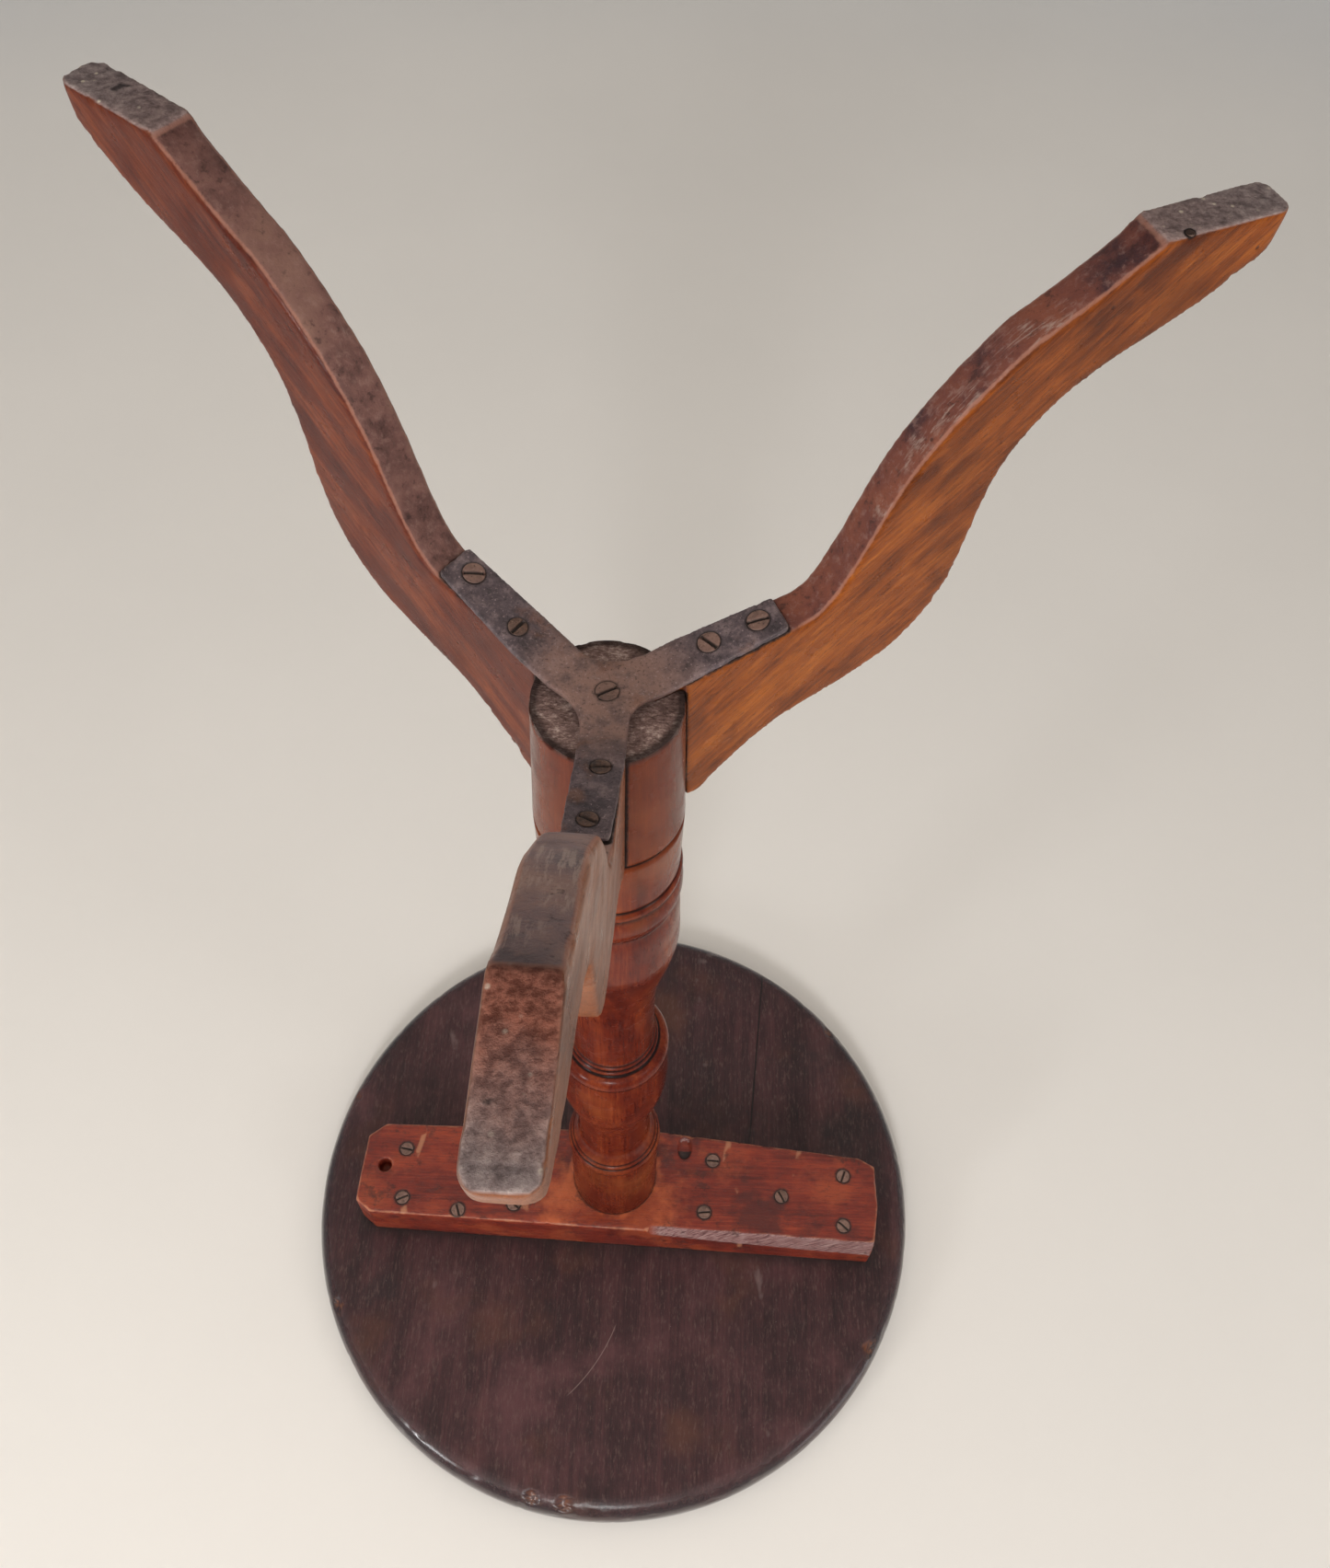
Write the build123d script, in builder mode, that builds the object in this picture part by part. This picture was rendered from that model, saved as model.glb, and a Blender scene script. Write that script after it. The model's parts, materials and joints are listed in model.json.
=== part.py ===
from build123d import *
from math import cos, hypot, radians, sin, tan

# Small round table on a turned column with three sawn legs.
# Millimetres, +Z up. The origin is on the floor, under the column's axis.

# --- Driving dimensions -------------------------------------------------------------
table_height = 721.0
top_diameter = 400.0
top_thickness = 22.0
top_under_round = 13.0  # broad rounding of the edge under the top
top_show_round = 6.0

bearer_thickness = 36.0
bearer_edge_round = 1.5

column_foot_z = 146.0  # height of the column's slotted end
column_foot_radius = 28.0
slot_top_z = 212.5  # where the legs' slots stop, at the turned groove
slot_top_radius = 30.2

spigot_radius = 16.0  # round tenon of the column, through the bearer
wedge_thickness = 3.0
wedge_length = 26.0

leg_thickness = 17.0
leg_azimuths = {"front": -88.7, "right": 37.2, "left": 154.8}  # hand-cut, so not quite even
toe_radius = 5.0
toe_lean, toe_height = 1.4, 9.0  # the leg's end slopes back by this much over this height

dovetail_root_half = 4.8
dovetail_end_half = 7.0
dovetail_depth = 13.0

plate_thickness = 2.8
plate_seat_z = 143.2  # upper face of the plate's hub; the legs reach down to it, past the column
plate_bend_radius = 18.0  # where the arms bend down to lie along the legs
plate_slope = 16.3  # degrees that they bend
plate_end_round = 1.5

screw_head_radius = 4.2
small_head_radius = 3.6
screw_head_rim = 0.4
screw_head_cone = 2.3
screw_shank_radius = 2.1
screw_point_length = 5.0
screw_tip_radius = 0.3
screw_slot_width = 1.1
screw_slot_depth = 1.1
bearer_screw_length = 50.0
leg_screw_length = 28.0
centre_screw_length = 38.0

# x, y of each screw head on the bearer, and the angle of its slot
bearer_screws = [
    (139.2, 10.6, 10),
    (137.7, -21.9, 155),
    (100.7, -28.2, 70),
    (64.8, -22.9, 35),
    (64.0, 12.0, 120),
    (-64.5, 11.6, 2),
    (-59.5, -22.9, 172),
    (-110.0, -10.3, 60),
    (-151.1, 5.0, 110),
    (-150.2, -27.8, 40),
]
# for the two screws of each arm: distance from the axis, offset across the leg, head, slot angle
plate_screws = {
    "front": [(35.8, -0.8, small_head_radius, 160), (61.4, 1.1, small_head_radius, 110)],
    "right": [(39.7, -2.4, small_head_radius, 170), (64.2, 1.7, screw_head_radius, 130)],
    "left": [(39.7, -2.2, screw_head_radius, 20), (57.9, -0.9, screw_head_radius, 15)],
}
# corners of each arm in plan, as (distance from the axis, offset across the leg)
plate_arms = {
    "left": [(28.0, -10.6), (66.4, -7.4), (66.4, 7.9)],
    "front": [(33.0, -8.8), (69.8, -6.8), (69.8, 9.6), (32.0, 8.5)],
    "right": [(36.0, -11.2), (73.0, -7.4), (73.0, 8.3)],
}
# x, y of the inner corners of the hub, before each of those arms, and the radius that fills them
plate_hub = {"left": (1.75, 11.0, 18.0), "front": (-8.6, -5.9, 11.0), "right": (8.6, -7.7, 18.0)}

# --- Heights worked out from them ---------------------------------------------------
top_z = table_height - top_thickness
bearer_z = top_z - bearer_thickness
slot_height = slot_top_z - column_foot_z
leg_low_z = plate_seat_z - (column_foot_radius - plate_bend_radius) * tan(radians(plate_slope))


# --- Helpers ------------------------------------------------------------------------
def radial_plane(azimuth):
    """Upright plane through the axis: x runs outwards at this azimuth, y runs up."""
    a = radians(azimuth)
    return Plane(origin=(0, 0, 0), x_dir=(cos(a), sin(a), 0), z_dir=(sin(a), -cos(a), 0))


def leg_point(side, distance, offset):
    """x, y of a point at this distance from the axis, and this far across the leg."""
    a = radians(leg_azimuths[side])
    return (distance * cos(a) - offset * sin(a), distance * sin(a) + offset * cos(a))


def screw_blank(place, length, head=screw_head_radius):
    """Countersunk screw without its slot. The head's face is on the plane, the point is along +z."""
    with BuildPart() as blank:
        with BuildSketch(Plane(place.origin, x_dir=place.x_dir, z_dir=-place.y_dir)):
            with BuildLine():
                Polyline(
                    (0, 0),
                    (head, 0),
                    (head, screw_head_rim),
                    (screw_shank_radius, screw_head_rim + screw_head_cone),
                    (screw_shank_radius, length - screw_point_length),
                    (screw_tip_radius, length),
                    (0, length),
                    close=True,
                )
            make_face()
        revolve(axis=Axis(place.origin, place.z_dir))
    return blank.part


def slotted_screw(place, length, slot_angle, head=screw_head_radius):
    """Screw with one straight slot across its head."""
    with BuildPart() as screw:
        add(screw_blank(place, length, head))
        with BuildSketch(place.rotated((0, 0, slot_angle))):
            Rectangle(3 * screw_head_radius, screw_slot_width)
        extrude(amount=screw_slot_depth, mode=Mode.SUBTRACT)
    return screw.part


def write(shape, name):
    """Label one finished piece and write its STEP file."""
    shape.label = name
    export_step(shape, f"parts/{name}.step")


# --- Places of the screws -----------------------------------------------------------
bearer_places = [Plane(origin=(x, y, bearer_z)) for x, y, _ in bearer_screws]
centre_place = Plane(origin=(0, 0, plate_seat_z - plate_thickness))


def arm_place(side, distance, offset):
    """Plane on an arm's lower face, with z into the leg, square to the arm's slope."""
    a, slope = radians(leg_azimuths[side]), radians(plate_slope)
    drop = (distance - plate_bend_radius) * tan(slope) + plate_thickness / cos(slope)
    inwards = Vector(sin(slope) * cos(a), sin(slope) * sin(a), cos(slope))
    across = Vector(-sin(a), cos(a), 0)
    centre = (*leg_point(side, distance, offset), plate_seat_z - drop)
    return Plane(origin=centre, x_dir=across, z_dir=inwards)


arm_places = {}
arm_blanks = {}
for side, pair in plate_screws.items():
    for i, (distance, offset, head, _) in enumerate(pair, start=1):
        arm_places[side, i] = arm_place(side, distance, offset)
        arm_blanks[side, i] = screw_blank(arm_places[side, i], leg_screw_length, head)
bearer_blanks = [screw_blank(place, bearer_screw_length) for place in bearer_places]
centre_blank = screw_blank(centre_place, centre_screw_length)


# --- Dovetail tenons of the legs, which are also the slots of the column -------------
dovetail_low_z = 141.0  # inside the plate's thickness, and cut off there


def dovetail(azimuth):
    inner = column_foot_radius - dovetail_depth
    outer = slot_top_radius
    with BuildPart() as tenon:
        with BuildSketch(Plane.XY.offset(dovetail_low_z).rotated((0, 0, azimuth))):
            with BuildLine():
                Polyline(
                    (inner, -dovetail_end_half),
                    (outer, -dovetail_root_half),
                    (outer, dovetail_root_half),
                    (inner, dovetail_end_half),
                    close=True,
                )
            make_face()
        extrude(amount=slot_top_z - dovetail_low_z)
    return tenon.part


dovetails = {side: dovetail(azimuth) for side, azimuth in leg_azimuths.items()}

# --- Top ----------------------------------------------------------------------------
with BuildPart() as table_top:
    with BuildSketch(Plane.XY.offset(top_z)):
        Circle(top_diameter / 2)
    extrude(amount=top_thickness)
    rims = table_top.edges().filter_by(GeomType.CIRCLE).sort_by(Axis.Z)
    fillet(rims[0], radius=top_under_round)
    fillet(table_top.edges().filter_by(GeomType.CIRCLE).sort_by(Axis.Z)[-1], radius=top_show_round)
    for blank in bearer_blanks:
        add(blank, mode=Mode.SUBTRACT)

write(table_top.part, "table_top")

# --- Bearer -------------------------------------------------------------------------
# Board across the top's grain, a little crooked: wider in the middle, corners cut off.
bearer_outline = [
    (155.0, 27.7),
    (-28.6, 30.3),
    (-162.0, 18.0),
    (-172.5, 12.5),
    (-173.5, -14.0),
    (-170.0, -41.0),
    (158.0, -32.0),
    (168.0, -24.5),
    (168.0, -16.0),
    (166.0, 19.0),
]
planed_start, planed_end = -24.0, -176.0  # stretch of the near lower edge that is planed off
planed_cuts = [(planed_start, -37.3, 4.0, 6.0), (planed_end, -42.6, 4.0, 30.0)]
spare_hole = (152.2, -0.6)  # empty screw hole near one end
spare_hole_depth = 12.0
pocket_centre = (-45.5, 19.0)  # shallow oval pocket beside the column
pocket_length, pocket_width, pocket_depth = 15.0, 9.5, 2.5
pocket_taper = 18.0  # degrees that its wall leans in

with BuildPart() as bearer:
    with BuildSketch(Plane.XY.offset(bearer_z)):
        with BuildLine():
            Polyline(*bearer_outline, close=True)
        make_face()
    extrude(amount=bearer_thickness)
    fillet(bearer.faces().sort_by(Axis.Z)[0].edges(), radius=bearer_edge_round)
    # the planed-off edge widens towards the end of the board
    for x, y, inset, drop in planed_cuts:
        with BuildSketch(Plane(origin=(x, y, bearer_z), x_dir=(0, 1, 0), z_dir=(1, 0, 0))):
            with BuildLine():
                Polyline((-3, -3), (inset, -3), (inset, 0), (0, drop), (-3, drop), close=True)
            make_face()
    loft(ruled=True, mode=Mode.SUBTRACT)
    with BuildSketch(Plane.XY.offset(bearer_z)):
        Circle(spigot_radius)
    extrude(amount=bearer_thickness, mode=Mode.SUBTRACT)
    with BuildSketch(Plane.XY.offset(bearer_z)):
        with Locations(spare_hole):
            Circle(screw_head_radius)
    extrude(amount=spare_hole_depth, mode=Mode.SUBTRACT)
    with BuildSketch(Plane.XY.offset(bearer_z)):
        with Locations(pocket_centre):
            Ellipse(pocket_width / 2, pocket_length / 2)
    extrude(amount=pocket_depth, taper=pocket_taper, mode=Mode.SUBTRACT)
    for blank in bearer_blanks:
        add(blank, mode=Mode.SUBTRACT)

write(bearer.part, "bearer")

# --- Wedge in the end of the spigot ---------------------------------------------------
wedge_tip = 0.8
with BuildPart() as tenon_wedge:
    with BuildSketch(Plane.YZ):
        with BuildLine():
            Polyline(
                (-wedge_tip / 2, top_z - wedge_length),
                (wedge_tip / 2, top_z - wedge_length),
                (wedge_thickness / 2, top_z),
                (-wedge_thickness / 2, top_z),
                close=True,
            )
        make_face()
    extrude(amount=spigot_radius, both=True)
    with BuildSketch(Plane.XY.offset(top_z - wedge_length)):
        Circle(spigot_radius)
    extrude(amount=wedge_length, mode=Mode.INTERSECT)

# the wedge stands across the bearer's grain
wedge_solid = Rot(0, 0, 90) * tenon_wedge.part
write(wedge_solid, "tenon_wedge")

# --- Column ---------------------------------------------------------------------------
with BuildPart() as column:
    with BuildSketch(Plane.XZ):
        with BuildLine():
            Line((0, column_foot_z), (column_foot_radius, column_foot_z))
            Line((column_foot_radius, column_foot_z), (slot_top_radius, slot_top_z))
            # incised groove above the legs, then a plain stretch
            ThreePointArc((slot_top_radius, slot_top_z), (28.9, 214.2), (slot_top_radius, 215.9))
            Line((slot_top_radius, 215.9), (29.6, 250.0))
            Line((29.6, 250.0), (28.8, 251.0))
            # two beads
            ThreePointArc((28.8, 251.0), (30.8, 254.6), (29.2, 258.2))
            ThreePointArc((29.2, 258.2), (31.3, 267.0), (29.4, 276.0))
            Line((29.4, 276.0), (29.4, 278.5))
            # vase, running out into the shaft
            Spline(
                (29.4, 278.5),
                (30.9, 298.0),
                (31.4, 313.0),
                (29.6, 329.0),
                (25.4, 350.0),
                (22.3, 370.0),
                (21.5, 392.0),
                tangents=[(0.3, 1), (0, 1)],
            )
            Line((21.5, 392.0), (21.6, 430.0))
            # two fillets and the cup over the bulb
            Line((21.6, 430.0), (22.6, 430.6))
            Line((22.6, 430.6), (22.6, 432.6))
            Line((22.6, 432.6), (23.9, 433.4))
            Line((23.9, 433.4), (23.9, 435.4))
            ThreePointArc((23.9, 435.4), (28.4, 438.3), (29.8, 442.6))
            Line((29.8, 442.6), (29.2, 443.6))
            Spline(
                (29.2, 443.6),
                (29.9, 470.0),
                (29.0, 493.0),
                (24.6, 515.0),
                (20.7, 537.0),
                tangents=[(0, 1), (-0.05, 1)],
            )
            # neck, collar ring and the plain collar on the bearer
            Line((20.7, 537.0), (20.7, 562.0))
            ThreePointArc((20.7, 562.0), (21.8, 569.4), (24.6, 573.6))
            Line((24.6, 573.6), (24.6, 575.2))
            ThreePointArc((24.6, 575.2), (26.1, 576.2), (25.9, 577.8))
            ThreePointArc((25.9, 577.8), (28.0, 580.8), (27.0, 584.4))
            Line((27.0, 584.4), (27.0, bearer_z))
            Line((27.0, bearer_z), (spigot_radius, bearer_z))
            Line((spigot_radius, bearer_z), (spigot_radius, top_z))
            Line((spigot_radius, top_z), (0, top_z))
            Line((0, top_z), (0, column_foot_z))
        make_face()
    revolve(axis=Axis.Z)
    for tenon in dovetails.values():
        add(tenon, mode=Mode.SUBTRACT)
    add(wedge_solid, mode=Mode.SUBTRACT)
    add(centre_blank, mode=Mode.SUBTRACT)

write(column.part, "column")


# --- Iron plate under the column and the legs --------------------------------------------
arm_slope = radians(plate_slope)
lower_bend = plate_bend_radius - plate_thickness * tan(arm_slope / 2)  # keeps the strip evenly thick
plate_low_z = plate_seat_z - plate_thickness
strip_end, strip_width = 90.0, 30.0  # a strip longer and wider than any arm, cut to the plan later
min_arm_end = 60.0  # only the corners at the arms' ends are farther out than this
strip_fall = (strip_end - plate_bend_radius) * tan(arm_slope)
strip_profile = [
    (0, plate_seat_z),
    (plate_bend_radius, plate_seat_z),
    (strip_end, plate_seat_z - strip_fall),
    (strip_end, plate_seat_z - strip_fall - plate_thickness / cos(arm_slope)),
    (lower_bend, plate_low_z),
    (0, plate_low_z),
]
plan_corners = []
for side, corners in plate_arms.items():
    plan_corners.append(plate_hub[side][:2])
    plan_corners += [leg_point(side, distance, offset) for distance, offset in corners]

with BuildPart() as plate_blank:
    with BuildSketch(Plane.XY.offset(plate_low_z)):
        Circle(lower_bend)
    extrude(amount=plate_thickness)
    for side in plate_arms:
        with BuildSketch(radial_plane(leg_azimuths[side])):
            with BuildLine():
                Polyline(*strip_profile, close=True)
            make_face()
        extrude(amount=strip_width / 2, both=True)
    # cut to the outline of the plate, with filled corners between the arms
    with BuildSketch(Plane.XY.offset(plate_low_z - strip_fall)) as plan:
        with BuildLine():
            Polyline(*plan_corners, close=True)
        make_face()
        for x, y, radius in plate_hub.values():
            corner = plan.vertices().sort_by_distance((x, y, 0))[0]
            fillet(corner, radius)
        ends = plan.vertices().filter_by(lambda v: hypot(v.X, v.Y) > min_arm_end)
        fillet(ends, plate_end_round)
    extrude(amount=2 * strip_fall, mode=Mode.INTERSECT)

with BuildPart() as spider_plate:
    add(plate_blank.part)
    add(centre_blank, mode=Mode.SUBTRACT)
    for blank in arm_blanks.values():
        add(blank, mode=Mode.SUBTRACT)

write(spider_plate.part, "spider_plate")


# --- Legs -----------------------------------------------------------------------------
seat_end_radius = 72.0  # where the straight seat of the iron plate's arm ends
seat_end_drop = (seat_end_radius - plate_bend_radius) * tan(arm_slope)
seat_end = (seat_end_radius, plate_seat_z - seat_end_drop)
shoulder_height = slot_top_z - leg_low_z
column_taper = (slot_top_radius - column_foot_radius) / slot_height
shoulder_low_radius = column_foot_radius - (column_foot_z - leg_low_z) * column_taper
sole_inner, toe_tip = 177.5, 223.0
leg_top_radius = 34.0  # where the upper side reaches the groove
leg_root = 20.0  # inside the column, cut away again at the shoulder


def make_leg(side):
    """One sawn leg: shoulders fitted to the column, and a dovetail tenon in its slot."""
    plane = radial_plane(leg_azimuths[side])
    with BuildPart() as leg:
        with BuildSketch(plane):
            with BuildLine():
                # under side, from the column to the sole
                Line((leg_root, leg_low_z), (column_foot_radius, leg_low_z))
                Line((column_foot_radius, leg_low_z), seat_end)
                Spline(
                    seat_end,
                    (84.5, 113.5),
                    (94.0, 90.0),
                    (110.5, 57.0),
                    (134.0, 30.0),
                    (sole_inner, 0.0),
                    tangents=[(0.92, -0.39), (0.80, -0.60)],
                )
                # sole and toe
                Line((sole_inner, 0.0), (toe_tip, 0.0))
                Line((toe_tip, 0.0), (toe_tip - toe_lean, toe_height))
                # upper side, back up to the groove
                Spline(
                    (toe_tip - toe_lean, toe_height),
                    (215.5, 15.5),
                    (207.0, 21.8),
                    (198.0, 28.0),
                    (163.0, 46.5),
                    (141.5, 71.0),
                    (134.5, 97.0),
                    (129.0, 128.0),
                    (111.0, 157.0),
                    (74.0, 176.5),
                    (51.0, 193.5),
                    (38.0, 208.0),
                    (leg_top_radius, slot_top_z),
                    tangents=[(-0.3, 1), (-0.7, 0.7)],
                )
                Line((leg_top_radius, slot_top_z), (leg_root, slot_top_z))
                Line((leg_root, slot_top_z), (leg_root, leg_low_z))
            make_face()
        extrude(amount=leg_thickness / 2, both=True)
        toe_edges = leg.edges().filter_by(
            lambda e: abs(e.center().Z - toe_height / 2) < 1
            and e.center().dot(plane.x_dir) > toe_tip - toe_lean
        )
        fillet(toe_edges.filter_by(lambda e: e.length < leg_thickness - 1), radius=toe_radius)
        # shoulders follow the tapered column
        with Locations((0, 0, (leg_low_z + slot_top_z) / 2)):
            Cone(shoulder_low_radius, slot_top_radius, shoulder_height, mode=Mode.SUBTRACT)
        add(dovetails[side])
        add(plate_blank.part, mode=Mode.SUBTRACT)
        for i in (1, 2):
            add(arm_blanks[side, i], mode=Mode.SUBTRACT)
        if side == brad_side:
            add(brad_solid, mode=Mode.SUBTRACT)
    return leg.part


# --- Brad in the sole of one leg --------------------------------------------------------
brad_side = "left"
brad_distance, brad_offset = 185.0, -6.6  # from the axis, and to the side of the leg's middle
brad_head_radius, brad_shank_radius = 1.4, 0.8
brad_head_height, brad_length = 0.6, 14.0
brad_plane = radial_plane(leg_azimuths[brad_side])
brad_centre = brad_plane.x_dir * brad_distance + brad_plane.z_dir * brad_offset

with BuildPart() as sole_brad:
    with BuildSketch(Plane(origin=brad_centre, z_dir=(0, 0, 1))):
        Circle(brad_head_radius)
    extrude(amount=brad_head_height)
    with BuildSketch(Plane(origin=brad_centre, z_dir=(0, 0, 1))):
        Circle(brad_shank_radius)
    extrude(amount=brad_length)

brad_solid = sole_brad.part
write(brad_solid, "sole_brad")

for side in leg_azimuths:
    write(make_leg(side), f"leg_{side}")

# --- Screws -------------------------------------------------------------------------------
centre_slot_angle = 150.0
write(slotted_screw(centre_place, centre_screw_length, centre_slot_angle), "plate_screw_centre")
for side, pair in plate_screws.items():
    for i, (_, _, head, slot_angle) in enumerate(pair, start=1):
        screw = slotted_screw(arm_places[side, i], leg_screw_length, slot_angle, head)
        write(screw, f"plate_screw_{side}_{i}")
for i, (place, (_, _, slot_angle)) in enumerate(zip(bearer_places, bearer_screws), start=1):
    write(slotted_screw(place, bearer_screw_length, slot_angle), f"bearer_screw_{i:02d}")
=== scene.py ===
import json
import math

import bmesh
import bpy
import numpy as np
from mathutils import Matrix, Vector, noise
from mathutils.bvhtree import BVHTree


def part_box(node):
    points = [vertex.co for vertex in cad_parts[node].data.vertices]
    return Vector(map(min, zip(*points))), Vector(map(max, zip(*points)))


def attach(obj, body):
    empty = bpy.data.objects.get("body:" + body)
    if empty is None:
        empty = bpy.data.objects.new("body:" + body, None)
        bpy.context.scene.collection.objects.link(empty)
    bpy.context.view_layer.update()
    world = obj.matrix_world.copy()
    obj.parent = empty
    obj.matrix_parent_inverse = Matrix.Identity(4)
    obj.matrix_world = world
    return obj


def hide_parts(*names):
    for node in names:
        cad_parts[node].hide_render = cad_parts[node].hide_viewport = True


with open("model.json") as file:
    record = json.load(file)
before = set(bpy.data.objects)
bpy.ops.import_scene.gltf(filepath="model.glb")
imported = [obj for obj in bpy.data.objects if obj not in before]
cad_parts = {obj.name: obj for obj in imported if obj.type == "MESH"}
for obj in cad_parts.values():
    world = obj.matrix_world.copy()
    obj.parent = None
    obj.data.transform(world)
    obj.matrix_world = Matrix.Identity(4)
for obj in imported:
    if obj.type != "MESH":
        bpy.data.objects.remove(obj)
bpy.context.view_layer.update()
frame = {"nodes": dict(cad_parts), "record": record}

# Small round table on a turned column with three sawn legs, seen from under its feet.
# Metres, in the frame of the CAD model: z up, feet on z = 0.

MM = 0.001
nodes = frame["nodes"]
top_low, top_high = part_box("table_top")
bearer_low, bearer_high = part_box("bearer")
column_low, column_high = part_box("column")
sides = ("front", "right", "left")
foot_rings = 16  # rings of points across the column's foot end


def leg_azimuth(side):
    """Direction of a leg from the axis, in radians, read from the mount under its sole."""
    sole = next(m for m in frame["record"]["mounts"] if m["name"] == f"sole_{side}")
    return math.atan2(sole["pos_m"][1], sole["pos_m"][0])


# --- Reading and writing meshes ---------------------------------------------------------
def points_of(mesh):
    co = np.empty(len(mesh.vertices) * 3)
    mesh.vertices.foreach_get("co", co)
    return co.reshape(-1, 3)


def normals_of(mesh):
    co = np.empty(len(mesh.vertices) * 3)
    mesh.vertices.foreach_get("normal", co)
    return co.reshape(-1, 3)


def move_points(mesh, co):
    mesh.vertices.foreach_set("co", co.ravel())
    mesh.update()


def paint(piece, name, values):
    """Store one number, or one vector, for each vertex, for the materials to read."""
    values = np.asarray(values, np.float32)
    kind, key = ("FLOAT", "value") if values.ndim == 1 else ("FLOAT_VECTOR", "vector")
    layer = piece.data.attributes.new(name, kind, "POINT")
    layer.data.foreach_set(key, values.ravel())


def smoothstep(low, high, x):
    t = np.clip((x - low) / (high - low), 0, 1)
    return t * t * (3 - 2 * t)


def noise_at(co, scale, seed=0.0, octaves=3):
    """Fractal noise between about -1 and 1 at each point; scale is in features for each metre."""
    shift = Vector((seed * 3.1, seed * 7.7, seed * 5.3))
    return np.array([noise.fractal(Vector(p) * scale + shift, 1.0, 2.0, octaves) for p in co])


def neighbour_mean(mesh, values, passes):
    """Each vertex's values drawn towards the average of its neighbours', this many times over."""
    kept, drawn = 0.4, 0.6
    edges = np.empty(len(mesh.edges) * 2, int)
    mesh.edges.foreach_get("vertices", edges)
    a, b = edges.reshape(-1, 2).T
    size = len(values)
    count = np.maximum(np.bincount(np.r_[a, b], minlength=size), 1)
    columns = values.reshape(size, -1).T
    for _ in range(passes):
        total = [np.bincount(a, v[b], size) + np.bincount(b, v[a], size) for v in columns]
        columns = kept * columns + drawn * np.array(total) / count
    return columns.T.reshape(values.shape)


def ease(piece, mask, passes):
    """Round the edges of a piece where the mask is 1, by smoothing it there."""
    co = points_of(piece.data)
    soft = neighbour_mean(piece.data, co, passes)
    move_points(piece.data, co + (soft - co) * mask[:, None])


def convex_edges(mesh, spread=6):
    """0 on flat and hollow places, up to 1 on outer edges."""
    co, normal = points_of(mesh), normals_of(mesh)
    smooth = neighbour_mean(mesh, co, spread)
    bulge = neighbour_mean(mesh, ((co - smooth) * normal).sum(1), 2)
    sharpest = np.percentile(bulge, 99.5)
    return np.clip(bulge / sharpest, 0, 1)


def search_tree(node):
    """Faces of a CAD node, ready for finding the nearest point or casting a ray."""
    mesh = nodes[node].data
    return BVHTree.FromPolygons([v.co for v in mesh.vertices], [p.vertices for p in mesh.polygons])


def nearness(co, names, reach):
    """1 on the named CAD nodes' surfaces, fading to 0 at this distance from them."""
    best = np.full(len(co), reach)
    for name in names:
        tree = search_tree(name)
        for i, p in enumerate(co):
            distance = tree.find_nearest(Vector(p), reach)[3]
            if distance is not None and distance < best[i]:
                best[i] = distance
    return 1 - best / reach


def link(name, mesh):
    piece = bpy.data.objects.new(name, mesh)
    bpy.context.scene.collection.objects.link(piece)
    for polygon in mesh.polygons:
        polygon.use_smooth = True
    return piece


def dense_copy(node, name, voxel, passes=3):
    """Even, fine mesh with the shape of a CAD node and lightly rounded edges."""
    same_point = 1e-6
    mesh = nodes[node].data.copy()
    work = bmesh.new()
    work.from_mesh(mesh)
    bmesh.ops.remove_doubles(work, verts=work.verts, dist=same_point)
    work.to_mesh(mesh)
    work.free()
    piece = link(name, mesh)
    remesh = piece.modifiers.new("remesh", "REMESH")
    remesh.mode = "VOXEL"
    remesh.voxel_size = voxel
    soften = piece.modifiers.new("soften", "SMOOTH")
    soften.factor = 0.5
    soften.iterations = passes
    graph = bpy.context.evaluated_depsgraph_get()
    final = bpy.data.meshes.new_from_object(piece.evaluated_get(graph))
    piece.modifiers.clear()
    piece.data = final
    for attribute in list(final.attributes):
        if attribute.name.startswith("Color") or attribute.name.startswith("UV"):
            final.attributes.remove(attribute)
    for polygon in final.polygons:
        polygon.use_smooth = True
    return piece


def lathe(name, profile, segments):
    """Closed solid turned about the z axis. The profile is (radius, height) pairs from axis to axis."""
    angles = np.linspace(0, 2 * math.pi, segments, endpoint=False)
    rings = profile[1:-1]
    verts = [(0, 0, profile[0][1])]
    for r, z in rings:
        verts += [(r * math.cos(a), r * math.sin(a), z) for a in angles]
    verts.append((0, 0, profile[-1][1]))
    last = len(verts) - 1
    faces = []
    for j in range(segments):
        k = (j + 1) % segments
        faces.append((0, 1 + k, 1 + j))
        for i in range(len(rings) - 1):
            a, b = 1 + i * segments, 1 + (i + 1) * segments
            faces.append((a + j, a + k, b + k, b + j))
        a = 1 + (len(rings) - 1) * segments
        faces.append((last, a + j, a + k))
    mesh = bpy.data.meshes.new(name)
    mesh.from_pydata(verts, [], faces)
    return link(name, mesh)


def thin_out(profile, tolerance, longest):
    """Drop profile points that lie on the line between their neighbours."""
    keep, start = [profile[0]], 0
    while start < len(profile) - 1:
        end = start + 1
        for trial in range(start + 2, len(profile)):
            a, b = np.array(profile[start]), np.array(profile[trial])
            chord = b - a
            length = np.hypot(*chord)
            between = np.array(profile[start + 1 : trial]) - a
            off = np.abs(chord[0] * between[:, 1] - chord[1] * between[:, 0]) / length
            if off.max() > tolerance or length > longest:
                break
            end = trial
        keep.append(profile[end])
        start = end
    return keep


def finish_piece(piece, material, replaced):
    piece.data.materials.clear()
    piece.data.materials.append(material)
    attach(piece, "root")
    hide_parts(*replaced)


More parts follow.
